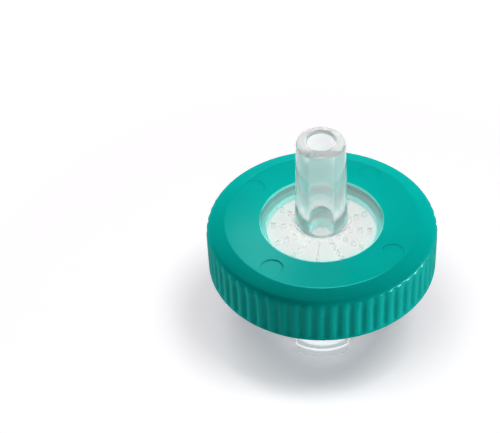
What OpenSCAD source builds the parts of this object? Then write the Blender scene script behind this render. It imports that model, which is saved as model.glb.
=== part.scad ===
// Syringe filter: a white filter disc between two clear moulded housings, joined by a fluted ring.
// The axis is Z. The rim of the inlet socket lies on Z = 0 and the outlet tube points up.
// Heights on the grip ring are measured from its two flat faces, inlet below and outlet above.

/* [Grip ring] */
// Diameter of the grip ring over its ribs
ring_d = 19.4; // [17:0.1:24]
// Height of the grip ring between its two flat faces
ring_h = 4.6; // [3.8:0.1:6]
// Width of the sloped shoulder round the flat outlet face
shoulder_w = 1.55; // [1.3:0.05:1.8]
// Radius of the wide arc that crowns the shoulder
crown_r = 12; // [8:0.5:16]
// Radius of the tight arc between the shoulder and the ribs
edge_r = 0.5; // [0.2:0.05:0.8]
// Width of the rounded edge round the inlet face
inlet_edge_w = 0.9; // [0.3:0.1:1.4]
// Width and height of the bevel between the flat outlet face and the shoulder
face_step = 0.05; // [0.02:0.01:0.1]
// Thickness of the lips that lap over the housings
lip_t = 0.7; // [0.5:0.05:0.9]
// Number of flutes
flute_count = 60; // [30:1:72]
// Angle of the first flute
flute_angle = 1.5; // [0:0.5:6]
// Radius of the round cutter that makes one flute
flute_r = 0.26; // [0.15:0.01:0.3]
// Depth of a flute below the ribs
flute_depth = 0.22; // [0.1:0.01:0.28]
// Distance from the outlet face to the rounded top of a flute
flute_top = 0.85; // [0.6:0.05:1.5]
// Number of ejector pin marks on the outlet face
pin_count = 4; // [0:1:8]
// Diameter of an ejector pin mark
pin_d = 1.9; // [1:0.1:2.4]
// Depth of an ejector pin mark
pin_depth = 0.06; // [0.02:0.01:0.1]
// Distance from an ejector pin mark to the rounded shoulder
pin_margin = 0.1; // [0.05:0.05:0.8]
// Angle of the first ejector pin mark
pin_angle = 55; // [0:1:90]

/* [Housings] */
// Diameter of the clear disc that shows in each face of the ring
window_d = 10.4; // [10:0.1:11]
// Width of the flange round each clear disc, which the ring grips
flange_w = 2; // [1.6:0.1:2.6]
// Thickness of the outlet housing's disc
outlet_plate_t = 1.65; // [1.4:0.05:2]
// Radius of the edge round each clear disc
disc_edge_r = 0.1; // [0.04:0.01:0.2]
// Thickness of the bond line between the ring and what it holds
bond_gap = 0.03; // [0.02:0.01:0.06]

/* [Filter membrane] */
// Thickness of the membrane
membrane_t = 0.2; // [0.1:0.05:0.3]
// Width of the membrane's edge that the ring holds
membrane_grip = 1.05; // [0.6:0.05:1.6]
// Width of the ring's ledge that shows between a clear disc's edge and the open filter area
ledge_w = 0.55; // [0.3:0.05:0.8]
// Height of the space between the inlet housing and the membrane
inlet_gap = 0.3; // [0.2:0.05:0.5]
// Height of the support bars above the membrane
bar_h = 0.55; // [0.3:0.05:0.7]
// Length of one support bar, along the radius
bar_len = 0.45; // [0.3:0.05:0.6]
// Width of one support bar
bar_w = 0.18; // [0.12:0.02:0.4]
// Distance from the edge of the open filter area to the middle of the outermost support bars
bar_inset = 0.6; // [0.4:0.05:0.8]
// Distance between two circles of support bars
bar_pitch = 0.8; // [0.7:0.05:1]
// Least distance from the fluid bore to the middle of the innermost support bars
bar_clearance = 0.3; // [0.25:0.05:0.6]
// Number of support bars in a circle
bar_count = 12; // [6:1:12]
// Angle of the first support bar
bar_angle = 25; // [0:1:30]

/* [Outlet tube] */
// Length of the outlet tube above the ring
tube_len = 8.5; // [6.5:0.1:12]
// Diameter of the outlet tube at its tip
tip_d = 3.97; // [3.92:0.01:3.99]
// Radius of the rounded tip
tip_r = 0.45; // [0.2:0.05:0.6]
// Diameter of the fluid bore in the outlet tube
outlet_bore_d = 2.2; // [1.6:0.1:2.6]
// Width of the bevel at the mouth of the fluid bore
bore_bevel = 0.2; // [0.05:0.05:0.3]
// Radius of the fillet at the foot of the outlet tube
tube_fillet_r = 0.35; // [0.1:0.05:0.8]

/* [Inlet hub] */
// Length of the hub below the ring
hub_len = 8.4; // [7:0.1:12]
// Diameter of the hub
hub_d = 6.2; // [5.8:0.1:6.6]
// Radius of the fillet at the root of the hub
hub_fillet_r = 0.6; // [0.2:0.1:1]
// Diameter of the luer socket at its mouth
socket_d = 4.3; // [4.27:0.01:4.32]
// Depth of the luer socket
socket_depth = 7.5; // [6:0.1:7.8]
// Radius of the rounded inner end of the socket
socket_end_r = 0.5; // [0.2:0.1:0.7]
// Diameter of the passage from the socket to the filter
inlet_bore_d = 2; // [1.2:0.1:2.6]
// Width of the bevel at the mouth of the socket
socket_bevel = 0.15; // [0.05:0.05:0.3]
// Height of the collar's step above the hub
collar_step = 0.15; // [0.05:0.05:0.3]
// Diameter over the two luer lock lugs
lug_d = 7.8; // [7.6:0.01:7.83]
// Width of a lug
lug_w = 4.6; // [3:0.1:5]
// Thickness of the collar and the lugs, along the axis
lug_t = 1.7; // [1.2:0.1:2.2]
// Radius of the corners of a lug
lug_corner_r = 0.6; // [0.2:0.1:1]
// Radius of the edge round the rim
rim_r = 0.3; // [0.1:0.05:0.4]
// Height of the sloped back of a lug
lug_ramp = 0.5; // [0.2:0.1:0.8]

/* [Hidden] */
$fn = 96;
luer_slope = 0.03;
over = 1;

inlet_face_z = hub_len;
outlet_face_z = inlet_face_z + ring_h;
tip_z = outlet_face_z + tube_len;
outlet_plate_z = outlet_face_z - outlet_plate_t;
membrane_top_z = outlet_plate_z - bar_h;
membrane_z = membrane_top_z - membrane_t;
inlet_plate_z = membrane_z - inlet_gap;

ring_r = ring_d / 2;
inlet_face_r = ring_r - inlet_edge_w;
window_r = window_d / 2;
pocket_r = window_r + flange_w;
disc_r = window_r - bond_gap;
flange_r = pocket_r - bond_gap;
filter_r = window_r - ledge_w;
membrane_r = filter_r + membrane_grip;
hub_r = hub_d / 2;
collar_r = hub_r + collar_step;
tube_foot_r = tip_d / 2 + luer_slope * tube_len;

// Shoulder of the outlet face: a wide crown arc slopes down into a tight edge arc, which meets the side.
// Both arcs touch where their radius points along crown_end, which has length 1.
// The crown's height is rounded, so that the two centres lie exactly in line with that point.
crown_end = [0.352, 0.936];
outlet_face_r = ring_r - shoulder_w;
crown_center_r = ring_r - edge_r - (crown_r - edge_r) * crown_end[0];
crown_rise = sqrt(pow(crown_r, 2) - pow(outlet_face_r - crown_center_r, 2));
crown_center = [crown_center_r, round(1000 * (outlet_face_z - face_step - crown_rise)) / 1000];
edge_center = crown_center + (crown_r - edge_r) * crown_end;
pin_circle_r = outlet_face_r - pin_margin - pin_d / 2;

// As many circles of support bars as fit between the fluid bore and the edge of the open filter area.
bar_reach = filter_r - bar_inset;
bar_rows = 1 + floor((bar_reach - outlet_bore_d / 2 - bar_clearance) / bar_pitch);

// The slice of a disc between two directions, given as vectors of length 1.
module pie(center, radius, from, to) {
  reach = 2 * radius;
  intersection() {
    translate(center) circle(radius);
    polygon([center, center + reach * from, center + reach * (from + to), center + reach * to]);
  }
}

// The fillet in the corner between a wall at r = corner[0] and a face at z = corner[1].
// up is 1 where the wall rises from the face and -1 where it hangs below it.
module fillet(corner, radius, up) {
  difference() {
    translate([corner[0] - over, up > 0 ? corner[1] - over : corner[1] - radius])
      square([radius + over, radius + over]);
    translate(corner + radius * [1, up]) circle(radius);
  }
}

// The hollow outline that the ring leaves for one housing: the clear disc and its flange.
module housing_pocket(face_z, plate_z) {
  up = face_z > plate_z ? 1 : -1;
  lip_z = face_z - up * (lip_t - bond_gap);
  polygon([
    [0, face_z + up * over], [window_r, face_z + up * over], [window_r, lip_z],
    [pocket_r, lip_z], [pocket_r, plate_z - up * bond_gap], [0, plate_z - up * bond_gap]
  ]);
}

module ring_outline() {
  foot_z = inlet_face_z + inlet_edge_w;
  face_z = outlet_face_z;
  polygon([
    [0, inlet_face_z], [inlet_face_r, inlet_face_z], [inlet_face_r, foot_z],
    [ring_r, foot_z], [ring_r, edge_center[1]], edge_center,
    [outlet_face_r + face_step, face_z - 2 * face_step], [outlet_face_r - face_step, face_z], [0, face_z]
  ]);
  pie([inlet_face_r, foot_z], inlet_edge_w, [0, -1], [1, 0]);
  pie(edge_center, edge_r, [1, 0], crown_end);
  intersection() {
    pie(crown_center, crown_r, crown_end, [0, 1]);
    translate([outlet_face_r - face_step / 2, edge_center[1] - over]) square([shoulder_w, 3 * over]);
  }
}

module ring_section() {
  difference() {
    ring_outline();
    housing_pocket(outlet_face_z, outlet_plate_z);
    housing_pocket(inlet_face_z, inlet_plate_z);
    translate([0, inlet_plate_z - over]) square([filter_r, outlet_plate_z - inlet_plate_z + 2 * over]);
    translate([0, membrane_z - bond_gap])
      square([membrane_r + bond_gap, membrane_t + 2 * bond_gap]);
  }
}

// One flute: a round groove from below the ring to a ball end in the shoulder.
module flute() {
  center_r = ring_r - flute_depth + flute_r;
  ball_z = outlet_face_z - flute_top - flute_r;
  translate([center_r, 0, inlet_face_z - over])
    cylinder(h = ball_z - inlet_face_z + over, r = flute_r, $fn = 24);
  translate([center_r, 0, ball_z])
    sphere(r = flute_r, $fn = 24);
}

module grip_ring() {
  color([0, 0.64, 0.58])
    difference() {
      rotate_extrude() ring_section();
      for (i = [0:flute_count - 1])
        rotate(flute_angle + i * 360 / flute_count) flute();
      for (i = [0:pin_count - 1])
        rotate(pin_angle + i * 360 / pin_count)
          translate([pin_circle_r, 0, outlet_face_z - pin_depth]) cylinder(h = over, d = pin_d);
    }
}

// A clear disc with its flange, and the rounded edge that shows in the ring's face.
module disc_section(face_z, plate_z, bore_r) {
  up = face_z > plate_z ? 1 : -1;
  edge_z = face_z - up * disc_edge_r;
  lip_z = face_z - up * lip_t;
  polygon([
    [bore_r, face_z], [disc_r - disc_edge_r, face_z], [disc_r - disc_edge_r, edge_z], [disc_r, edge_z],
    [disc_r, lip_z], [flange_r, lip_z], [flange_r, plate_z], [bore_r, plate_z]
  ]);
  translate([disc_r - disc_edge_r, edge_z]) circle(disc_edge_r);
}

module tube_section() {
  bore_r = outlet_bore_d / 2;
  shoulder_z = tip_z - tip_r;
  side_r = tip_d / 2 + luer_slope * tip_r;
  tip_center = [side_r - tip_r, shoulder_z];
  polygon([
    [bore_r, outlet_face_z - over], [tube_foot_r, outlet_face_z - over], [tube_foot_r, outlet_face_z],
    [side_r, shoulder_z], tip_center, [tip_center[0], tip_z], [bore_r + bore_bevel, tip_z],
    [bore_r, tip_z - bore_bevel]
  ]);
  pie(tip_center, tip_r, [1, 0], [0, 1]);
  fillet([tube_foot_r, outlet_face_z], tube_fillet_r, 1);
}

module support_bars() {
  for (row = [0:bar_rows - 1])
    for (i = [0:bar_count - 1])
      rotate(bar_angle + i * 360 / bar_count)
        translate([bar_reach - row * bar_pitch, 0, membrane_top_z + bond_gap])
          translate([-bar_len / 2, -bar_w / 2, 0]) cube([bar_len, bar_w, bar_h + over / 2]);
}

module outlet_housing() {
  color([0.9, 0.94, 0.94, 0.6]) {
    rotate_extrude() {
      disc_section(outlet_face_z, outlet_plate_z, outlet_bore_d / 2);
      tube_section();
    }
    support_bars();
  }
}

module membrane() {
  color("white") translate([0, 0, membrane_z]) cylinder(h = membrane_t, r = membrane_r);
}

// The hub's wall: a plain cylinder with a rounded rim edge, a collar at the rim and a filleted root.
module hub_section() {
  bore_r = inlet_bore_d / 2;
  polygon([
    [bore_r, 0], [collar_r - rim_r, 0], [collar_r - rim_r, rim_r], [collar_r, rim_r],
    [collar_r, lug_t], [hub_r, lug_t], [hub_r, inlet_face_z + over], [bore_r, inlet_face_z + over]
  ]);
  translate([collar_r - rim_r, rim_r]) circle(rim_r);
  fillet([hub_r, inlet_face_z], hub_fillet_r, -1);
}

// The room inside the hub: a 6 % luer socket with a rounded end, then the passage to the filter.
module socket_section() {
  mouth_r = socket_d / 2;
  lip_r = mouth_r + socket_bevel;
  foot_z = socket_depth - socket_end_r;
  foot_r = mouth_r - luer_slope * foot_z;
  end_center = [foot_r - socket_end_r, foot_z];
  polygon([
    [0, -over], [lip_r + over, -over], [lip_r, 0], [mouth_r - luer_slope * socket_bevel, socket_bevel],
    [foot_r, foot_z], end_center, [end_center[0], socket_depth], [0, socket_depth]
  ]);
  pie(end_center, socket_end_r, [1, 0], [0, 1]);
}

// The outline of the two lugs: a bar with ends on the lug circle and round corners.
module lug_outline() {
  corner_x = lug_w / 2 - lug_corner_r;
  corner_reach = lug_d / 2 - lug_corner_r;
  corner_y = sqrt(pow(corner_reach, 2) - pow(corner_x, 2));
  touch_x = corner_x * (lug_d / 2) / corner_reach;
  intersection() {
    circle(d = lug_d);
    union() {
      square([2 * touch_x, lug_d + over], center = true);
      square([lug_w, 2 * corner_y], center = true);
      for (x = [-corner_x, corner_x])
        for (y = [-corner_y, corner_y])
          translate([x, y]) circle(lug_corner_r);
    }
  }
}

// The revolved envelope of the lugs: a rounded edge at the rim and a sloped back.
module lug_envelope() {
  reach = lug_d / 2;
  polygon([
    [0, 0], [reach - rim_r, 0], [reach - rim_r, rim_r], [reach, rim_r],
    [reach, lug_t - lug_ramp], [hub_r, lug_t + lug_ramp], [0, lug_t + lug_ramp]
  ]);
  translate([reach - rim_r, rim_r]) circle(rim_r);
}

module lugs() {
  intersection() {
    rotate_extrude() lug_envelope();
    translate([0, 0, -over]) linear_extrude(lug_t + lug_ramp + 2 * over) lug_outline();
  }
}

module inlet_housing() {
  color([0.9, 0.94, 0.94, 0.6])
    difference() {
      union() {
        rotate_extrude() {
          disc_section(inlet_face_z, inlet_plate_z, inlet_bore_d / 2);
          hub_section();
        }
        lugs();
      }
      rotate_extrude() socket_section();
      translate([0, 0, -over]) cylinder(h = inlet_plate_z + 2 * over, d = inlet_bore_d);
    }
}

inlet_housing();
outlet_housing();
membrane();
grip_ring();
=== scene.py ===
import math

import bpy
import numpy as np
from mathutils import Euler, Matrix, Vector
from mathutils.geometry import delaunay_2d_cdt


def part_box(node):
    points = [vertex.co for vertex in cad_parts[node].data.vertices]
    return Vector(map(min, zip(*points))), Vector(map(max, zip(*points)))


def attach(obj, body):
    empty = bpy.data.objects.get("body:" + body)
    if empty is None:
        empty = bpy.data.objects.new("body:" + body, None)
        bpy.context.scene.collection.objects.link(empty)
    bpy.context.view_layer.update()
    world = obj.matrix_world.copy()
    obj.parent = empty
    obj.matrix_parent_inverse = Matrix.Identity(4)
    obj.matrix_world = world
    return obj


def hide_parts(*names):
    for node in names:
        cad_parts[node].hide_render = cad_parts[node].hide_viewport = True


# Sizes are in millimetres, heights are above the rim of the inlet socket, and angles are in degrees.
MM = 0.001

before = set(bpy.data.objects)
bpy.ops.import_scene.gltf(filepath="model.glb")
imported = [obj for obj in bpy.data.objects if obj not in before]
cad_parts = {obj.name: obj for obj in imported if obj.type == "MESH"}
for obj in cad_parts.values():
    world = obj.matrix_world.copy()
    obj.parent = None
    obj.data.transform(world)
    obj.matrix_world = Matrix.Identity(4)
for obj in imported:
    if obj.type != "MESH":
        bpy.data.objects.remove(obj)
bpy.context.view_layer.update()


def low_mm(node, axis=2):
    return round(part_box(node)[0][axis] / MM, 3)


def high_mm(node, axis=2):
    return round(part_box(node)[1][axis] / MM, 3)


# Grip ring
RING_R = high_mm("grip_ring", 0)
INLET_FACE = low_mm("grip_ring")
OUTLET_FACE = high_mm("grip_ring")
SHOULDER_W = 1.55
SHOULDER_STEPS = 10
CROWN_R = 12
CROWN_END = (0.352, 0.936)
EDGE_R = 0.7
EDGE_STEPS = 16
INLET_EDGE = 0.2
INLET_EDGE_STEPS = 8
CREASE_R = 0.5
CREASE_STEPS = 6
CREASE_REACH = 0.25
LIP = 0.67
WEB_R = 4.65
HOLD = 0.1
HOLD_GAP = 0.01

# Flutes. Each starts with a short lip under the shoulder, deepens slowly, and ends above the inlet face.
FLUTES = 60
FLUTE_ANGLE = 1.5
FLUTE_DEPTH = 0.17
FLUTE_TOP = 0.58
FLUTE_TOP_FADE = 1.3
FLUTE_LIP = 0.1
FLUTE_LIP_SHARE = 0.42
FLUTE_FOOT = 0.05
FLUTE_FOOT_FADE = 0.65
FLUTE_POWER = 1.6
FLUTE_STEPS = 16
FLUTE_TOP_ROWS = 16
FLUTE_FOOT_ROWS = 6
FLUTE_MIDDLE = 0.9

# Ejector pin marks in the ring's outlet face
PIN_R = 0.95
PIN_DEPTHS = (0.02, 0.02, 0.06, 0.03)
PIN_CIRCLE = 7.07
PIN_ANGLE = 55
PIN_EDGE = 0.02
PIN_EDGE_STEPS = 3
PIN_SUPPORT = 0.005
PIN_STEPS = 64

# Housings. They reach MELD into the ring, because the ring is moulded round them.
WINDOW_R = 5.2
POCKET_R = 7.2
MELD = 0.02
DISC_EDGE = 0.1
DISC_EDGE_STEPS = 6
MEMBRANE_LOW = low_mm("membrane")
MEMBRANE_HIGH = high_mm("membrane")
INLET_PLATE = high_mm("inlet_housing")

# Membrane support bars
BAR_FOOT = low_mm("outlet_housing")
BAR_H = 0.52
OUTLET_PLATE = BAR_FOOT + BAR_H
BAR_LEN = 0.45
BAR_W = 0.18
BAR_REACH = 4.05
BAR_PITCH = 0.8
BAR_ROWS = 4
BAR_COUNT = 12
BAR_ANGLE = 25
BAR_DRAFT = 0.015
BAR_BEVEL = 0.01

# Outlet tube. TIP_FLARE is how far outside TIP_R its side would meet the plane of the tip.
TIP = high_mm("outlet_housing")
TIP_R = 1.985
TIP_FLARE = 0.0105
TIP_ROUND = 0.45
TIP_STEPS = 14
LUER_SLOPE = 0.03
OUTLET_BORE_R = 1.1
BORE_BEVEL = 0.2
TUBE_FILLET = 0.35
TUBE_FILLET_STEPS = 12

# Inlet hub
HUB_R = 3.1
HUB_FILLET = 0.6
HUB_FILLET_STEPS = 12
COLLAR_R = 3.25
COLLAR_T = 1.7
COLLAR_EDGE = 0.02
RIM_ROUND = 0.3
RIM_STEPS = 6
LUG_R = 3.9
LUG_HALF_W = 2.3
LUG_CORNER = 0.6
LUG_RAMP = 0.5
LUG_SOFT = 0.06
LUG_STEPS = (0.15, 0.25, 0.35, 0.45)
LUG_LANDING = 0.05
LUG_CLEAR = 0.3
SOCKET_R = 2.15
SOCKET_BEVEL = 0.15
SOCKET_DEPTH = 7.5
SOCKET_ROUND = 0.5
SOCKET_STEPS = 8
INLET_BORE_R = 1.0

# Roundings of small corners: radius and steps
SHARP = (0, 0)
POCKET_CORNER = (0.03, 2)
MOUTH_CORNER = (0.04, 3)
DISC_CORNER = (0.05, 3)
TIP_CORNER = (0.06, 4)
BEVEL_CORNER = (0.08, 4)

# A line's first and last corner lie GUIDE beyond its ends. They only give the direction there.
GUIDE = 0.3
# A row this far beside an arc keeps the flat there flat, where there is room for SUPPORT_ROOM of them.
SUPPORT = 0.03
RING_SUPPORT = 0.02
SUPPORT_ROOM = 3
# The flutes' lowest row keeps this far above the ring's lower edge.
ROW_GAP = 0.01
# A triangle counts as beyond an edge from this share of the edge's radius on.
EDGE_SHARE = 0.9999
PIN_SHARE = 0.999
# Points nearer to each other than this are one point, and nothing is divided by less than TINY.
SAME_POINT = 1e-7
TINY = 1e-9

# Steps round the axis, and the angles between faces from which an edge is drawn sharp
FINE_STEPS = 240
HUB_STEPS = 384
SHARP_ANGLE = 35
RING_SHARP_ANGLE = 38


# ---------------------------------------------------------------- camera

# The lens and the sensor are in millimetres, and the clipping distances are in metres.
CAMERA_DISTANCE = 122.92
CAMERA_ELEVATION = 42.43
CAMERA_TURN = 2.787
CAMERA_TILT = 0.113
CAMERA_ROLL = -0.494
LENS = 105.53
SENSOR = 36
CLIP_START = 0.005
CLIP_END = 10


def make_camera():
    data = bpy.data.cameras.new("camera")
    data.lens = LENS
    data.sensor_width = SENSOR
    data.clip_start = CLIP_START
    data.clip_end = CLIP_END
    camera = bpy.data.objects.new("camera", data)
    bpy.context.scene.collection.objects.link(camera)
    elevation = math.radians(CAMERA_ELEVATION)
    back = Vector((0, -math.cos(elevation), math.sin(elevation)))
    camera.location = (Vector((0, 0, OUTLET_FACE)) + back * CAMERA_DISTANCE) * MM
    camera.rotation_mode = "QUATERNION"
    aim = (-back).to_track_quat("-Z", "Y")
    for axis, turn in (("Y", CAMERA_TURN), ("X", CAMERA_TILT), ("Z", CAMERA_ROLL)):
        angles = [math.radians(turn) if axis == a else 0 for a in "XYZ"]
        aim = aim @ Euler(angles).to_quaternion()
    camera.rotation_quaternion = aim
    bpy.context.scene.camera = camera


# ---------------------------------------------------------------- mesh building


class Shape:
    """Points and faces of one piece, in millimetres."""

    def __init__(self):
        self.points = []
        self.faces = []

    def add(self, points):
        """Adds a row of points and gives their numbers."""
        start = len(self.points)
        self.points.extend(tuple(float(c) for c in p) for p in points)
        return list(range(start, len(self.points)))

    def reach(self, row):
        """How far the first point of a row is from the axis."""
        return math.hypot(*self.points[row[0]][:2])

    def strip(self, a, b):
        """Quads between two equally long closed rows of points."""
        count = len(a)
        for i in range(count):
            j = (i + 1) % count
            self.faces.append((a[i], a[j], b[j], b[i]))

    def sheet(self, rows, close=False):
        """Quads between each row of points and the next."""
        for a, b in zip(rows, rows[1:]):
            self.strip(a, b)
        if close:
            self.strip(rows[-1], rows[0])

    def flat(self, loops, keep, up):
        """Fills a level area whose edges are rows of points. keep says which triangles belong to it."""
        index = [i for loop in loops for i in loop]
        places = [Vector(self.points[i][:2]) for i in index]
        edges = []
        start = 0
        for loop in loops:
            count = len(loop)
            edges += [(start + i, start + (i + 1) % count) for i in range(count)]
            start += count
        points, _, triangles, origins, _, _ = delaunay_2d_cdt(places, edges, [], 0, SAME_POINT)
        source = [index[o[0]] for o in origins]
        for face in triangles:
            corners = [points[i] for i in face]
            middle = sum(corners, Vector((0, 0))) / len(corners)
            if not keep(middle):
                continue
            a, b, c = corners[:3]
            area = (b - a).cross(c - a)
            ids = [source[i] for i in face]
            self.faces.append(tuple(ids if (area > 0) == up else reversed(ids)))

    def build(self, name, sharp=SHARP_ANGLE):
        mesh = bpy.data.meshes.new(name)
        mesh.from_pydata([tuple(c * MM for c in p) for p in self.points], [], self.faces)
        mesh.validate()
        mesh.shade_smooth()
        mesh.set_sharp_from_angle(angle=math.radians(sharp))
        piece = bpy.data.objects.new(name, mesh)
        bpy.context.scene.collection.objects.link(piece)
        return piece


def circle_row(radius, height, angles):
    """A row of points round the axis. radius is a number or one number for each angle."""
    radius = np.broadcast_to(radius, angles.shape)
    height = np.broadcast_to(height, angles.shape)
    return np.stack([radius * np.cos(angles), radius * np.sin(angles), height], 1)


def even_angles(count):
    return np.arange(count) * 2 * math.pi / count


def softened(corners, support=SUPPORT):
    """A line through (r, z, radius, steps) corners, with an arc at each and support rows beside the arcs."""
    line = []
    for i, (r, z, radius, steps) in enumerate(corners):
        here = np.array([r, z], float)
        if radius == 0 or i in (0, len(corners) - 1):
            line.append(here)
            continue
        before = np.array(corners[i - 1][:2], float) - here
        after = np.array(corners[i + 1][:2], float) - here
        before_len, after_len = np.linalg.norm(before), np.linalg.norm(after)
        before, after = before / before_len, after / after_len
        half = math.acos(np.clip(before @ after, -1, 1)) / 2
        reach = radius / math.tan(half)
        centre = here + (before + after) / np.linalg.norm(before + after) * radius / math.sin(half)
        if before_len > reach + SUPPORT_ROOM * support:
            line.append(here + before * (reach + support))
        first = here + before * reach - centre
        last = here + after * reach - centre
        turn = math.pi - 2 * half
        for k in range(steps + 1):
            t = k / steps * turn
            point = (math.sin(turn - t) * first + math.sin(t) * last) / math.sin(turn)
            line.append(centre + point)
        if after_len > reach + SUPPORT_ROOM * support:
            line.append(here + after * (reach + support))
    return line


def arc(centre, radius, start, end, steps):
    """Points on an arc between two angles."""
    turns = np.radians(np.linspace(start, end, steps + 1))
    return [np.array(centre) + radius * np.array([math.cos(t), math.sin(t)]) for t in turns]


# ---------------------------------------------------------------- grip ring


def smooth(value):
    """0 below 0 and 1 above 1, with a soft rise between them."""
    t = np.clip(value, 0, 1)
    return t * t * (3 - 2 * t)


def flute_angles():
    """Angles round the ring, the same few in each flute and rib."""
    return math.radians(FLUTE_ANGLE) + even_angles(FLUTES * FLUTE_STEPS)


def flute_depth(angles, height):
    """How deep the flutes are below the tops of the ribs at one height."""
    across = np.cos(FLUTES * (angles - math.radians(FLUTE_ANGLE)))
    below = OUTLET_FACE - FLUTE_TOP - height
    lip = FLUTE_LIP_SHARE * smooth(below / FLUTE_LIP)
    top = lip + (1 - FLUTE_LIP_SHARE) * smooth(below / FLUTE_TOP_FADE)
    foot = smooth((height - INLET_FACE - FLUTE_FOOT) / FLUTE_FOOT_FADE)
    return FLUTE_DEPTH * top * foot * ((1 + across) / 2) ** FLUTE_POWER


def shoulder_line(edge_r, edge_z, crown):
    """The ring's shoulder: a soft crease at the flat face, the crowned slope, and the round edge."""
    face_r = RING_R - SHOULDER_W
    split = math.degrees(math.atan2(CROWN_END[1], CROWN_END[0]))
    start = math.degrees(math.acos((face_r + CREASE_REACH - crown[0]) / CROWN_R))
    slope = arc(crown, CROWN_R, start, split, SHOULDER_STEPS)
    crease = softened(
        [
            (face_r - GUIDE, OUTLET_FACE, *SHARP),
            (face_r, OUTLET_FACE, CREASE_R, CREASE_STEPS),
            (*slope[0], *SHARP),
            (*slope[1], *SHARP),
        ],
        RING_SUPPORT,
    )
    return crease[1:-1] + slope[1:] + arc((edge_r, edge_z), EDGE_R, split, 0, EDGE_STEPS)[1:]


def ring_outer_line():
    """The ring's outside from the edge of the flat outlet face to the edge of the inlet face."""
    face_r = RING_R - SHOULDER_W
    edge_r = RING_R - EDGE_R
    crown_r = edge_r - (CROWN_R - EDGE_R) * CROWN_END[0]
    crown_z = OUTLET_FACE - math.sqrt(CROWN_R**2 - (face_r - crown_r) ** 2)
    edge_z = crown_z + (CROWN_R - EDGE_R) * CROWN_END[1]
    top = OUTLET_FACE - FLUTE_TOP
    shoulder = shoulder_line(edge_r, edge_z, (crown_r, crown_z))
    line = [p for p in shoulder if p[1] > top + RING_SUPPORT]
    for step in range(FLUTE_TOP_ROWS + 1):
        z = top - FLUTE_TOP_FADE * (step / FLUTE_TOP_ROWS) ** 2
        r = edge_r + math.sqrt(EDGE_R**2 - max(z - edge_z, 0) ** 2)
        line.append(np.array([r, z]))
    foot_top = INLET_FACE + FLUTE_FOOT + FLUTE_FOOT_FADE
    line.append(np.array([RING_R, foot_top + FLUTE_MIDDLE]))
    for step in range(FLUTE_FOOT_ROWS + 1):
        z = foot_top - FLUTE_FOOT_FADE * step / FLUTE_FOOT_ROWS
        if z > INLET_FACE + INLET_EDGE + ROW_GAP:
            line.append(np.array([RING_R, z]))
    foot = (RING_R - INLET_EDGE, INLET_FACE + INLET_EDGE)
    line += arc(foot, INLET_EDGE, 0, -90, INLET_EDGE_STEPS)
    line.append(np.array([foot[0] - SUPPORT, INLET_FACE]))
    return line


def ring_inner_line():
    """The ring's inside from the edge of the inlet window up to the edge of the outlet window."""
    inlet_lip = INLET_FACE + LIP
    outlet_lip = OUTLET_FACE - LIP
    web_low = INLET_PLATE - MELD
    web_high = OUTLET_PLATE + MELD
    slot_r = high_mm("membrane", 0) - HOLD
    corners = [
        (WINDOW_R + GUIDE, INLET_FACE, *SHARP),
        (WINDOW_R, INLET_FACE, *MOUTH_CORNER),
        (WINDOW_R, inlet_lip, *POCKET_CORNER),
        (POCKET_R, inlet_lip, *POCKET_CORNER),
        (POCKET_R, web_low, *POCKET_CORNER),
        (WEB_R, web_low, *POCKET_CORNER),
        (WEB_R, MEMBRANE_LOW + HOLD_GAP, *SHARP),
        (slot_r, MEMBRANE_LOW + HOLD_GAP, *SHARP),
        (slot_r, MEMBRANE_HIGH - HOLD_GAP, *SHARP),
        (WEB_R, MEMBRANE_HIGH - HOLD_GAP, *SHARP),
        (WEB_R, web_high, *MOUTH_CORNER),
        (POCKET_R, web_high, *POCKET_CORNER),
        (POCKET_R, outlet_lip, *POCKET_CORNER),
        (WINDOW_R, outlet_lip, *POCKET_CORNER),
        (WINDOW_R, OUTLET_FACE, *MOUTH_CORNER),
        (WINDOW_R + GUIDE, OUTLET_FACE, *SHARP),
    ]
    return softened(corners, RING_SUPPORT)[1:-1]


def pin_rows(shape, angle, depth):
    """One ejector pin mark: a shallow round dish with a soft edge. Gives its rows and its outer circle."""
    x = PIN_CIRCLE * math.cos(angle)
    y = PIN_CIRCLE * math.sin(angle)
    line = softened(
        [
            (PIN_R + GUIDE, OUTLET_FACE, *SHARP),
            (PIN_R, OUTLET_FACE, PIN_EDGE, PIN_EDGE_STEPS),
            (PIN_R - PIN_EDGE - depth / 2, OUTLET_FACE - depth, PIN_EDGE, PIN_EDGE_STEPS),
            (PIN_R - GUIDE, OUTLET_FACE - depth, *SHARP),
        ],
        PIN_SUPPORT,
    )[1:-1]
    turns = even_angles(PIN_STEPS)
    rows = []
    for r, z in line:
        points = circle_row(r, z, turns) + np.array([x, y, 0])
        rows.append(shape.add(points))
    shape.sheet(rows[::-1])
    return rows, (x, y, line[0][0])


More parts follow.
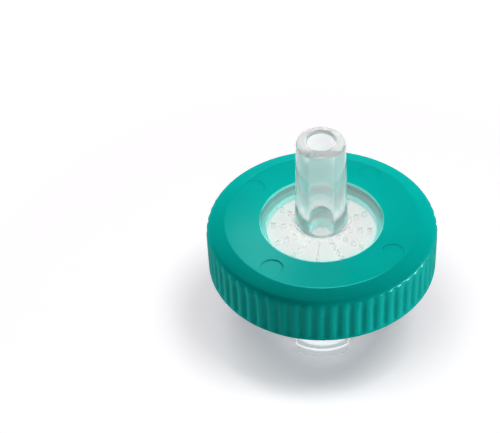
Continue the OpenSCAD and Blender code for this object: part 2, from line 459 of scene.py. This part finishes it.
def make_ring():
    shape = Shape()
    angles = flute_angles()
    outer = []
    for r, z in ring_outer_line():
        outer.append(shape.add(circle_row(r - flute_depth(angles, z), z, angles)))
    shape.sheet(outer[::-1])
    fine = even_angles(FINE_STEPS)
    inner = [shape.add(circle_row(r, z, fine)) for r, z in ring_inner_line()]
    shape.sheet(inner[::-1])
    pins = []
    for i, depth in enumerate(PIN_DEPTHS):
        pins.append(pin_rows(shape, math.radians(PIN_ANGLE) + i * 2 * math.pi / len(PIN_DEPTHS), depth))
    face_in = shape.reach(inner[-1])
    face_out = shape.reach(outer[0])
    low_in = shape.reach(inner[0])
    low_out = shape.reach(outer[-1])

    def on_face(p):
        clear = all(math.hypot(p.x - x, p.y - y) > r * PIN_SHARE for _, (x, y, r) in pins)
        return clear and face_in * EDGE_SHARE < p.length < face_out

    shape.flat([outer[0], inner[-1]] + [rows[0] for rows, _ in pins], on_face, True)
    for rows, _ in pins:
        shape.flat([rows[-1]], lambda p: True, True)
    shape.flat([outer[-1], inner[0]], lambda p: low_in * EDGE_SHARE < p.length < low_out, False)
    return shape.build("ring_body", RING_SHARP_ANGLE)


# ---------------------------------------------------------------- outlet housing


def bar_rows(shape, radius, angle):
    """One membrane support bar: its foot at the disc, its sides and its free face. Gives the foot's row."""
    free = BAR_FOOT + BAR_BEVEL
    rows = []
    for z, inset in ((OUTLET_PLATE, 0.0), (free, BAR_DRAFT), (BAR_FOOT, BAR_DRAFT + BAR_BEVEL)):
        half_l = BAR_LEN / 2 - inset
        half_w = BAR_W / 2 - inset
        points = []
        for u, v in ((-half_l, -half_w), (half_l, -half_w), (half_l, half_w), (-half_l, half_w)):
            x = (radius + u) * math.cos(angle) - v * math.sin(angle)
            y = (radius + u) * math.sin(angle) + v * math.cos(angle)
            points.append((x, y, z))
        rows.append(shape.add(points))
    shape.sheet(rows[::-1])
    shape.faces.append(tuple(reversed(rows[-1])))
    return rows[0]


def outlet_line():
    """The outlet housing's section, from the disc's underside round the outside and back down the bore."""
    foot_r = TIP_R + LUER_SLOPE * (TIP - OUTLET_FACE)
    step_z = OUTLET_FACE - LIP + MELD
    return softened(
        [
            (POCKET_R - GUIDE, OUTLET_PLATE, *SHARP),
            (POCKET_R + MELD, OUTLET_PLATE, *DISC_CORNER),
            (POCKET_R + MELD, step_z, *DISC_CORNER),
            (WINDOW_R + MELD, step_z, *POCKET_CORNER),
            (WINDOW_R + MELD, OUTLET_FACE, DISC_EDGE, DISC_EDGE_STEPS),
            (foot_r, OUTLET_FACE, TUBE_FILLET, TUBE_FILLET_STEPS),
            (TIP_R + TIP_FLARE, TIP, TIP_ROUND, TIP_STEPS),
            (OUTLET_BORE_R + BORE_BEVEL, TIP, *TIP_CORNER),
            (OUTLET_BORE_R, TIP - BORE_BEVEL, *BEVEL_CORNER),
            (OUTLET_BORE_R, OUTLET_PLATE, *MOUTH_CORNER),
            (OUTLET_BORE_R + GUIDE, OUTLET_PLATE, *SHARP),
        ]
    )[1:-1]


def make_outlet():
    shape = Shape()
    fine = even_angles(FINE_STEPS)
    rows = [shape.add(circle_row(r, z, fine)) for r, z in outlet_line()]
    shape.sheet(rows)
    feet = []
    places = []
    for row in range(BAR_ROWS):
        radius = BAR_REACH - row * BAR_PITCH
        for i in range(BAR_COUNT):
            angle = math.radians(BAR_ANGLE) + i * 2 * math.pi / BAR_COUNT
            feet.append(bar_rows(shape, radius, angle))
            places.append((radius, angle))
    bore_edge = shape.reach(rows[-1])

    def clear_of_bars(p):
        for radius, angle in places:
            u = p.x * math.cos(angle) + p.y * math.sin(angle) - radius
            v = p.y * math.cos(angle) - p.x * math.sin(angle)
            if abs(u) < BAR_LEN / 2 and abs(v) < BAR_W / 2:
                return False
        return bore_edge * EDGE_SHARE < p.length

    shape.flat([rows[0], rows[-1]] + feet, clear_of_bars, False)
    return shape.build("outlet_body")


# ---------------------------------------------------------------- inlet housing


def lug_reach(angles):
    """The distance from the axis to the outline of the two lugs."""
    corner_reach = LUG_R - LUG_CORNER
    corner_x = LUG_HALF_W - LUG_CORNER
    corner_y = math.sqrt(corner_reach**2 - corner_x**2)
    c = np.abs(np.cos(angles))
    s = np.abs(np.sin(angles))
    side = LUG_HALF_W / np.maximum(c, TINY)
    along = c * corner_x + s * corner_y
    corner = along + np.sqrt(np.clip(along**2 - corner_reach**2 + LUG_CORNER**2, 0, None))
    turn = np.arctan2(s, c)
    low = math.atan2(corner_y, LUG_HALF_W)
    high = math.atan2(corner_y, corner_x)
    return np.where(turn < low, side, np.where(turn < high, corner, LUG_R))


def lug_levels(back_z, top_z):
    """Heights of the rows over the collar and the lugs' ramps, closer together where they turn."""
    levels = [back_z / 2, back_z * 3 / 4, back_z - LUG_SOFT, back_z, back_z + LUG_SOFT]
    levels += [back_z + step for step in LUG_STEPS]
    levels += [COLLAR_T - COLLAR_EDGE, COLLAR_T, COLLAR_T + LUG_LANDING]
    levels += [COLLAR_T + step for step in LUG_STEPS]
    return levels + [top_z, top_z + LUG_SOFT]


def collar_rows(angles, inner_r):
    """Rows from the rim of the socket round the rim's edge, and up the collar and its two lugs."""
    outline = lug_reach(angles)
    reach = np.maximum(COLLAR_R, outline)
    rows = [
        circle_row(inner_r + SUPPORT, 0, angles),
        circle_row(reach - RIM_ROUND - SUPPORT, 0, angles),
    ]
    for r, z in arc((0, RIM_ROUND), RIM_ROUND, -90, 0, RIM_STEPS):
        rows.append(circle_row(reach - RIM_ROUND + r, z, angles))
    back_z = COLLAR_T - LUG_RAMP
    top_z = COLLAR_T + LUG_RAMP
    slope = (LUG_R - HUB_R) / (top_z - back_z)
    for z in lug_levels(back_z, top_z):
        ramp = LUG_R - max(0.0, z - back_z) * slope
        base = COLLAR_R if z < COLLAR_T - 1.5 * COLLAR_EDGE else COLLAR_R - COLLAR_EDGE
        if z >= COLLAR_T - COLLAR_EDGE / 2:
            base = HUB_R
        rows.append(circle_row(np.maximum(base, np.minimum(ramp, outline)), z, angles))
    return rows


def housing_line(inner_r):
    """The inlet housing's section, from the hub up round the disc and down the bore and the socket."""
    step_z = INLET_FACE + LIP - MELD
    return softened(
        [
            (HUB_R, COLLAR_T + LUG_RAMP + LUG_CLEAR, *SHARP),
            (HUB_R, INLET_FACE, HUB_FILLET, HUB_FILLET_STEPS),
            (WINDOW_R + MELD, INLET_FACE, DISC_EDGE, DISC_EDGE_STEPS),
            (WINDOW_R + MELD, step_z, *POCKET_CORNER),
            (POCKET_R + MELD, step_z, *DISC_CORNER),
            (POCKET_R + MELD, INLET_PLATE, *DISC_CORNER),
            (INLET_BORE_R, INLET_PLATE, *MOUTH_CORNER),
            (INLET_BORE_R, SOCKET_DEPTH, *MOUTH_CORNER),
            (SOCKET_R - LUER_SLOPE * SOCKET_DEPTH, SOCKET_DEPTH, SOCKET_ROUND, SOCKET_STEPS),
            (SOCKET_R - LUER_SLOPE * SOCKET_BEVEL, SOCKET_BEVEL, *DISC_CORNER),
            (inner_r, 0, *MOUTH_CORNER),
            (inner_r + GUIDE, 0, *SHARP),
        ]
    )[:-2]


def make_inlet():
    shape = Shape()
    angles = even_angles(HUB_STEPS)
    inner_r = SOCKET_R + SOCKET_BEVEL
    rows = collar_rows(angles, inner_r)
    rows += [circle_row(r, z, angles) for r, z in housing_line(inner_r)]
    shape.sheet([shape.add(points) for points in rows], close=True)
    return shape.build("inlet_body")


# ---------------------------------------------------------------- materials

# Where a tint or a roughness has two values, the surface moves between them with a noise.
# A noise has its cells per metre, its detail and its roughness. Bumps are in metres, one for each noise.
RING_GREEN = (0.0, 0.44, 0.385)
RING_TINTS = ((0.0, 0.46, 0.405), (0.001, 0.49, 0.432))
RING_PLAIN = 0.2
RING_ROUGHNESS = (0.15, 0.23)
RING_IOR = 1.49
RING_SPECULAR = 0.13
RING_GLOSS_TINT = (0.25, 1, 0.97)
RING_BROAD = (260, 3, 0.5)
RING_FINE = (9000, 3, 0.6)
RING_GRAIN = (24000, 2, 0.6)
RING_BUMPS = (0.00002, 0.0000009, 0.0000004)
# Painted light: within WALL_REACH of the axis the green is paler, standing in for light that falls on the
# window's wall through the clear plastic.
WALL_PAINTED_LIGHT = (0.05, 0.7, 0.63)
WALL_REACH = WINDOW_R + 0.01

CLEAR_BASE = (0.95, 0.975, 0.97)
CLEAR_PLAIN = 0.06
CLEAR_ROUGHNESS = (0.04, 0.09)
CLEAR_IOR = 1.5
CLEAR_BROAD = (420, 2, 0.5)
CLEAR_FINE = (9000, 2, 0.5)
CLEAR_BUMPS = (0.000012, 0.0000005)
MILKY_TINTS = ((0.925, 0.942, 0.942), (0.95, 0.96, 0.962))
MILKY_TRANSMISSION = 0.86
MILKY_RING_LIGHT = 1
THICK_TINTS = ((0.88, 0.93, 0.955), (0.91, 0.955, 0.98))
THICK_TRANSMISSION = 0.52
THICK_RING_LIGHT = 0.4
# Painted light: from RIM_FROM to RIM_TO mm from the axis the clear plastic is painted green, for the ring's
# green light that scatters in it. The milky and the thick plastic each take their own share of it.
PAINTED_RING_LIGHT = (0.6, 0.96, 0.93)
RIM_FROM = 4.65
RIM_TO = 5.15
LAMP_THROUGH = (0.94, 0.955, 0.95)

MEMBRANE_WHITE = (0.92, 0.92, 0.9)
# Painted light: the white membrane is tinted pink to offset the green light that the ring throws on it.
MEMBRANE_COUNTER_TINTS = ((0.975, 0.85, 0.838), (0.99, 0.88, 0.868))
MEMBRANE_PLAIN = 0.75
MEMBRANE_ROUGHNESS = (0.65, 0.85)
MEMBRANE_IOR = 1.4
MEMBRANE_SPECULAR = 0.2
MEMBRANE_BROAD = (900, 3, 0.5)
MEMBRANE_PORES = (14000, 4, 0.7)
MEMBRANE_BUMPS = (0.000006, 0.000004)

NOISE_SPAN = (0.3, 0.7)


def new_material(name, base, roughness, ior, transmission, specular=0.5):
    """A material and its shader. A noise may later take the place of the base colour and the roughness."""
    material = bpy.data.materials.new(name)
    material.use_nodes = True
    shader = material.node_tree.nodes["Principled BSDF"]
    shader.inputs["Base Color"].default_value = (*base, 1)
    shader.inputs["Roughness"].default_value = roughness
    shader.inputs["IOR"].default_value = ior
    shader.inputs["Transmission Weight"].default_value = transmission
    shader.inputs["Specular IOR Level"].default_value = specular
    return material, shader


def object_noise(material, cells, detail, roughness):
    """Noise fixed to the piece."""
    nodes, links = material.node_tree.nodes, material.node_tree.links
    place = nodes.new("ShaderNodeTexCoord")
    noise = nodes.new("ShaderNodeTexNoise")
    noise.inputs["Scale"].default_value = cells
    noise.inputs["Detail"].default_value = detail
    noise.inputs["Roughness"].default_value = roughness
    links.new(place.outputs["Object"], noise.inputs["Vector"])
    return noise


def ranged(material, noise, low, high):
    """The noise, which runs over about NOISE_SPAN, spread over low to high."""
    nodes, links = material.node_tree.nodes, material.node_tree.links
    spread = nodes.new("ShaderNodeMapRange")
    spread.inputs["From Min"].default_value = NOISE_SPAN[0]
    spread.inputs["From Max"].default_value = NOISE_SPAN[1]
    spread.inputs["To Min"].default_value = low
    spread.inputs["To Max"].default_value = high
    links.new(noise.outputs["Fac"], spread.inputs["Value"])
    return spread.outputs["Result"]


def colour_mix(nodes, links, share, low, high):
    """A colour between low and high. Each is a colour or a socket, and share is a socket."""
    mix = nodes.new("ShaderNodeMix")
    mix.data_type = "RGBA"
    links.new(share, mix.inputs["Factor"])
    for socket, colour in ((mix.inputs["A"], low), (mix.inputs["B"], high)):
        if isinstance(colour, tuple):
            socket.default_value = (*colour, 1)
        else:
            links.new(colour, socket)
    return mix.outputs["Result"]


def tinted(material, noise, tints):
    """A colour that moves between two tints with the noise."""
    nodes, links = material.node_tree.nodes, material.node_tree.links
    return colour_mix(nodes, links, ranged(material, noise, 0, 1), *tints)


def bumped(material, shader, noises, heights):
    """Adds a bump for each noise, on top of each other."""
    nodes, links = material.node_tree.nodes, material.node_tree.links
    normal = None
    for noise, height in zip(noises, heights):
        bump = nodes.new("ShaderNodeBump")
        bump.inputs["Strength"].default_value = 1.0
        bump.inputs["Distance"].default_value = height
        links.new(noise.outputs["Fac"], bump.inputs["Height"])
        if normal is not None:
            links.new(normal, bump.inputs["Normal"])
        normal = bump.outputs["Normal"]
    links.new(normal, shader.inputs["Normal"])


def maths(nodes, links, operation, a, b):
    node = nodes.new("ShaderNodeMath")
    node.operation = operation
    for socket, value in zip(node.inputs, (a, b)):
        if isinstance(value, (int, float)):
            socket.default_value = value
        else:
            links.new(value, socket)
    return node.outputs["Value"]


def spread_value(nodes, links, value, from_low, from_high, low, high):
    """value, which runs from from_low to from_high, spread softly over low to high."""
    spread = nodes.new("ShaderNodeMapRange")
    spread.interpolation_type = "SMOOTHSTEP"
    spread.inputs["From Min"].default_value = from_low
    spread.inputs["From Max"].default_value = from_high
    spread.inputs["To Min"].default_value = low
    spread.inputs["To Max"].default_value = high
    links.new(value, spread.inputs["Value"])
    return spread.outputs["Result"]


def pass_lamps(material, shader, colour):
    """Lets the light of the lamps through the material, with this much of it at each surface."""
    nodes, links = material.node_tree.nodes, material.node_tree.links
    path = nodes.new("ShaderNodeLightPath")
    clear = nodes.new("ShaderNodeBsdfTransparent")
    mix = nodes.new("ShaderNodeMixShader")
    clear.inputs["Color"].default_value = (*colour, 1)
    links.new(path.outputs["Is Shadow Ray"], mix.inputs["Fac"])
    links.new(shader.outputs["BSDF"], mix.inputs[1])
    links.new(clear.outputs["BSDF"], mix.inputs[2])
    links.new(mix.outputs["Shader"], nodes["Material Output"].inputs["Surface"])


def axis_distance(nodes, links):
    """How far a point of a piece is from the filter's axis, in metres."""
    place = nodes.new("ShaderNodeTexCoord")
    parts = nodes.new("ShaderNodeSeparateXYZ")
    links.new(place.outputs["Object"], parts.inputs["Vector"])
    across = maths(nodes, links, "POWER", parts.outputs["X"], 2)
    along = maths(nodes, links, "POWER", parts.outputs["Y"], 2)
    return maths(nodes, links, "SQRT", maths(nodes, links, "ADD", across, along), 0)


def ring_material():
    """Moulded green plastic. The wall of the window and what is hidden inside it are painted paler green,
    standing in for light that reaches them through the clear plastic.
    """
    name = "ring_green_moulded"
    material, shader = new_material(name, RING_GREEN, RING_PLAIN, RING_IOR, 0, RING_SPECULAR)
    nodes, links = material.node_tree.nodes, material.node_tree.links
    broad = object_noise(material, *RING_BROAD)
    fine = object_noise(material, *RING_FINE)
    grain = object_noise(material, *RING_GRAIN)
    green = tinted(material, broad, RING_TINTS)
    # Painted light: the wall of the window and what lies within it get the paler green.
    inside = maths(nodes, links, "LESS_THAN", axis_distance(nodes, links), WALL_REACH * MM)
    links.new(colour_mix(nodes, links, inside, green, WALL_PAINTED_LIGHT), shader.inputs["Base Color"])
    shader.inputs["Specular Tint"].default_value = (*RING_GLOSS_TINT, 1)
    links.new(ranged(material, fine, *RING_ROUGHNESS), shader.inputs["Roughness"])
    bumped(material, shader, (broad, fine, grain), RING_BUMPS)
    return material


def plastic_material(name, transmission, tints, ring_light_share):
    """Clear plastic. Near the ring a painted green stands in for the ring's green light scattered in the
    plastic, as much as the last argument says.
    """
    material, shader = new_material(name, CLEAR_BASE, CLEAR_PLAIN, CLEAR_IOR, transmission)
    nodes, links = material.node_tree.nodes, material.node_tree.links
    broad = object_noise(material, *CLEAR_BROAD)
    fine = object_noise(material, *CLEAR_FINE)
    clear = tinted(material, broad, tints)
    radius = axis_distance(nodes, links)
    # Painted light: green near the ring, for the ring's light scattered in the plastic.
    near = spread_value(nodes, links, radius, RIM_FROM * MM, RIM_TO * MM, 0, ring_light_share)
    links.new(colour_mix(nodes, links, near, clear, PAINTED_RING_LIGHT), shader.inputs["Base Color"])
    links.new(ranged(material, fine, *CLEAR_ROUGHNESS), shader.inputs["Roughness"])
    bumped(material, shader, (broad, fine), CLEAR_BUMPS)
    pass_lamps(material, shader, LAMP_THROUGH)
    return material


def membrane_material():
    name = "membrane_white_porous"
    rough = MEMBRANE_PLAIN
    material, shader = new_material(name, MEMBRANE_WHITE, rough, MEMBRANE_IOR, 0, MEMBRANE_SPECULAR)
    links = material.node_tree.links
    broad = object_noise(material, *MEMBRANE_BROAD)
    pores = object_noise(material, *MEMBRANE_PORES)
    # Painted light: pink tints offset the ring's green light on the membrane.
    links.new(tinted(material, broad, MEMBRANE_COUNTER_TINTS), shader.inputs["Base Color"])
    links.new(ranged(material, pores, *MEMBRANE_ROUGHNESS), shader.inputs["Roughness"])
    bumped(material, shader, (broad, pores), MEMBRANE_BUMPS)
    return material


# ---------------------------------------------------------------- floor and world

# The floor's size and distances are in metres. The glow fades to white between FLOOR_NEAR and FLOOR_FAR.
FLOOR_SIZE = 3.0
FLOOR_SEEN = 0.95
FLOOR_BOUNCE = 0.75
FLOOR_MIRRORED = 0.2
FLOOR_GLOW = (0.303, 0.268, 0.292)
FLOOR_NEAR = 0.03
FLOOR_FAR = 0.075
SKY_LOW = 0.035
SKY_TOP = 0.045
WHITE = (1, 1, 1)


def in_view(nodes, links):
    """1 for what the camera sees straight or through the plastic, 0 for light that falls on a piece."""
    path = nodes.new("ShaderNodeLightPath")
    straight = maths(nodes, links, "LESS_THAN", path.outputs["Diffuse Depth"], 0.5)
    through = maths(nodes, links, "MULTIPLY", path.outputs["Is Transmission Ray"], straight)
    return maths(nodes, links, "MAXIMUM", path.outputs["Is Camera Ray"], through)


def make_world():
    """A dim sky that is a little lighter overhead, and white where the camera sees it."""
    world = bpy.data.worlds.new("studio")
    world.use_nodes = True
    bpy.context.scene.world = world
    nodes, links = world.node_tree.nodes, world.node_tree.links
    place = nodes.new("ShaderNodeTexCoord")
    parts = nodes.new("ShaderNodeSeparateXYZ")
    links.new(place.outputs["Generated"], parts.inputs["Vector"])
    sky = spread_value(nodes, links, parts.outputs["Z"], 0, 1, SKY_LOW, SKY_TOP)
    background = nodes["Background"]
    links.new(maths(nodes, links, "MAXIMUM", in_view(nodes, links), sky), background.inputs["Strength"])
    background.inputs["Color"].default_value = (*WHITE, 1)


def floor_material():
    """White with the object's shadow. A glow keeps the shadow soft, and the floor far away is all white."""
    material = bpy.data.materials.new("floor_white")
    material.use_nodes = True
    nodes, links = material.node_tree.nodes, material.node_tree.links
    nodes.remove(nodes["Principled BSDF"])
    seen = in_view(nodes, links)
    path = nodes.new("ShaderNodeLightPath")
    dimmed = maths(nodes, links, "MULTIPLY", path.outputs["Is Glossy Ray"], FLOOR_BOUNCE - FLOOR_MIRRORED)
    lit = maths(nodes, links, "SUBTRACT", FLOOR_BOUNCE, dimmed)
    shown = maths(nodes, links, "MULTIPLY", seen, FLOOR_SEEN)
    shader = nodes.new("ShaderNodeBsdfDiffuse")
    links.new(maths(nodes, links, "MAXIMUM", lit, shown), shader.inputs["Color"])
    place = nodes.new("ShaderNodeTexCoord")
    reach = nodes.new("ShaderNodeVectorMath")
    reach.operation = "LENGTH"
    links.new(place.outputs["Object"], reach.inputs[0])
    far = spread_value(nodes, links, reach.outputs["Value"], FLOOR_NEAR, FLOOR_FAR, 0, 1)
    glow = nodes.new("ShaderNodeEmission")
    links.new(colour_mix(nodes, links, far, FLOOR_GLOW, WHITE), glow.inputs["Color"])
    links.new(seen, glow.inputs["Strength"])
    both = nodes.new("ShaderNodeAddShader")
    links.new(shader.outputs["BSDF"], both.inputs[0])
    links.new(glow.outputs["Emission"], both.inputs[1])
    links.new(both.outputs["Shader"], nodes["Material Output"].inputs["Surface"])
    return material


def make_floor():
    half = FLOOR_SIZE / 2
    corners = [(-half, -half, 0), (half, -half, 0), (half, half, 0), (-half, half, 0)]
    mesh = bpy.data.meshes.new("floor")
    mesh.from_pydata(corners, [], [(0, 1, 2, 3)])
    mesh.materials.append(floor_material())
    floor = bpy.data.objects.new("floor", mesh)
    bpy.context.scene.collection.objects.link(floor)
    return floor


# ---------------------------------------------------------------- lamps

# Each lamp has an azimuth, an elevation, a (width, height) in metres and the share of light that it lays on
# a white surface which faces it. It may have its own distance in metres and a point in mm that it aims at.
LAMP_DISTANCE = 0.5
MIDDLE = (0, 0, OUTLET_FACE)

# These light surfaces and show in no reflection.
SOFT_LAMPS = {
    "back": (90, 24, (0.2, 0.1), 1.12),
    "right": (-6, 19, (0.45, 0.16), 0.8),
    "left": (156, 9, (0.2, 0.16), 0.52),
    "fill": (270, 22, (0.6, 0.4), 0.62),
    "low_front": (270, 15, (0.6, 0.4), 1.5),
    "low_right": (30, 15, (0.6, 0.4), 0.7),
    "low_left": (150, 15, (0.6, 0.4), 0.7),
    "window": (90, 80, (0.2, 0.2), 0.67),
    "rim": (270, 20, (0.002, 0.002), 0.7, 0.006, (0, 3.8, OUTLET_FACE)),
}
# These show only as glints: on the flutes' tops at the right, along the crease, and on the face.
GLINT_LAMPS = {
    "spark": (-10, 2, (0.4, 0.01), 3.6),
    "crease": (90, 63, (0.2, 0.08), 0.9),
    "sheen": (90, 42, (0.006, 0.006), 0.055, 0.03, (-6.2, -5.2, OUTLET_FACE)),
}
GLINT_COLOURS = {"spark": (0.75, 1, 1), "crease": (0.35, 1, 0.95)}
FLOOR_LAMPS = {
    "floor_right": (326, 70, (0.17, 0.17), 0.44),
    "floor_left": (225, 75, (0.24, 0.24), 0.4),
}
# The lamp that lies face up on the floor has a side in metres, a brightness and a height in mm.
MIRRORED_SIZE = 0.07
MIRRORED_LEVEL = 0.8
MIRRORED_HEIGHT = 0.1

# Which lamps light which pieces. The name is that of the collection that holds the pieces.
LIT = (
    ("lit_pieces", ("back", "right", "left"), ("ring", "outlet")),
    ("lit_ring", ("sheen", "crease", "spark", "rim"), ("ring",)),
    ("lit_outlet", ("fill",), ("outlet",)),
    ("lit_inlet", ("low_front", "low_right", "low_left"), ("inlet",)),
    ("lit_window", ("window",), ("outlet", "membrane")),
    ("mirrors_floor", ("mirrored_floor",), ("outlet", "inlet")),
    ("lit_floor", ("floor_right", "floor_left"), ("floor",)),
)


def new_lamp(name, shape, size, energy):
    data = bpy.data.lights.new(name, "AREA")
    data.shape = shape
    data.size, data.size_y = size
    data.energy = energy
    lamp = bpy.data.objects.new(name, data)
    bpy.context.scene.collection.objects.link(lamp)
    return lamp


def make_lamp(name, azimuth, elevation, size, share, distance=LAMP_DISTANCE, aim=MIDDLE):
    """An area lamp that faces the point it aims at."""
    lamp = new_lamp(name, "RECTANGLE", size, share * math.pi**2 * distance**2)
    a, e = math.radians(azimuth), math.radians(elevation)
    way = Vector((math.cos(a) * math.cos(e), math.sin(a) * math.cos(e), math.sin(e)))
    lamp.location = Vector(aim) * MM + way * distance
    lamp.rotation_mode = "QUATERNION"
    lamp.rotation_quaternion = way.to_track_quat("Z", "Y")
    return lamp


def make_mirrored_floor():
    """A lamp that lies face up on the floor. The clear plastic mirrors it in place of a white floor."""
    energy = MIRRORED_LEVEL * math.pi * MIRRORED_SIZE**2
    lamp = new_lamp("mirrored_floor", "SQUARE", (MIRRORED_SIZE, MIRRORED_SIZE), energy)
    lamp.location = (0, 0, MIRRORED_HEIGHT * MM)
    lamp.rotation_euler = (math.pi, 0, 0)
    lamp.visible_camera = False
    lamp.visible_diffuse = False
    lamp.visible_transmission = False
    return lamp


def make_lamps():
    lamps = {name: make_lamp(name, *row) for name, row in SOFT_LAMPS.items()}
    for lamp in lamps.values():
        lamp.visible_glossy = False
        lamp.visible_transmission = False
    for name, row in GLINT_LAMPS.items():
        lamps[name] = make_lamp(name, *row)
        lamps[name].visible_diffuse = False
    for name, colour in GLINT_COLOURS.items():
        lamps[name].data.color = colour
    for name, row in FLOOR_LAMPS.items():
        lamps[name] = make_lamp(name, *row)
    return lamps


def link_lamps(lamps, pieces):
    """Each lamp lights only the pieces that LIT gives it."""
    for name, lamp_names, piece_names in LIT:
        group = bpy.data.collections.new(name)
        for piece_name in piece_names:
            group.objects.link(pieces[piece_name])
        for lamp_name in lamp_names:
            lamps[lamp_name].light_linking.receiver_collection = group


# ---------------------------------------------------------------- scene


def finish_piece(piece, material, node):
    piece.data.materials.append(material)
    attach(piece, "root")
    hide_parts(node)


def main():
    make_camera()
    bpy.context.scene.view_settings.view_transform = "Standard"
    make_world()
    lamps = make_lamps()
    floor = make_floor()
    milky = plastic_material("clear_plastic_milky", MILKY_TRANSMISSION, MILKY_TINTS, MILKY_RING_LIGHT)
    thick = plastic_material("clear_plastic_thick", THICK_TRANSMISSION, THICK_TINTS, THICK_RING_LIGHT)
    ring = make_ring()
    outlet = make_outlet()
    inlet = make_inlet()
    finish_piece(ring, ring_material(), "grip_ring")
    finish_piece(outlet, milky, "outlet_housing")
    finish_piece(inlet, thick, "inlet_housing")
    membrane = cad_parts["membrane"]
    for slot in membrane.material_slots:
        slot.material = membrane_material()
    lamps["mirrored_floor"] = make_mirrored_floor()
    pieces = {"ring": ring, "outlet": outlet, "inlet": inlet, "membrane": membrane, "floor": floor}
    link_lamps(lamps, pieces)


main()
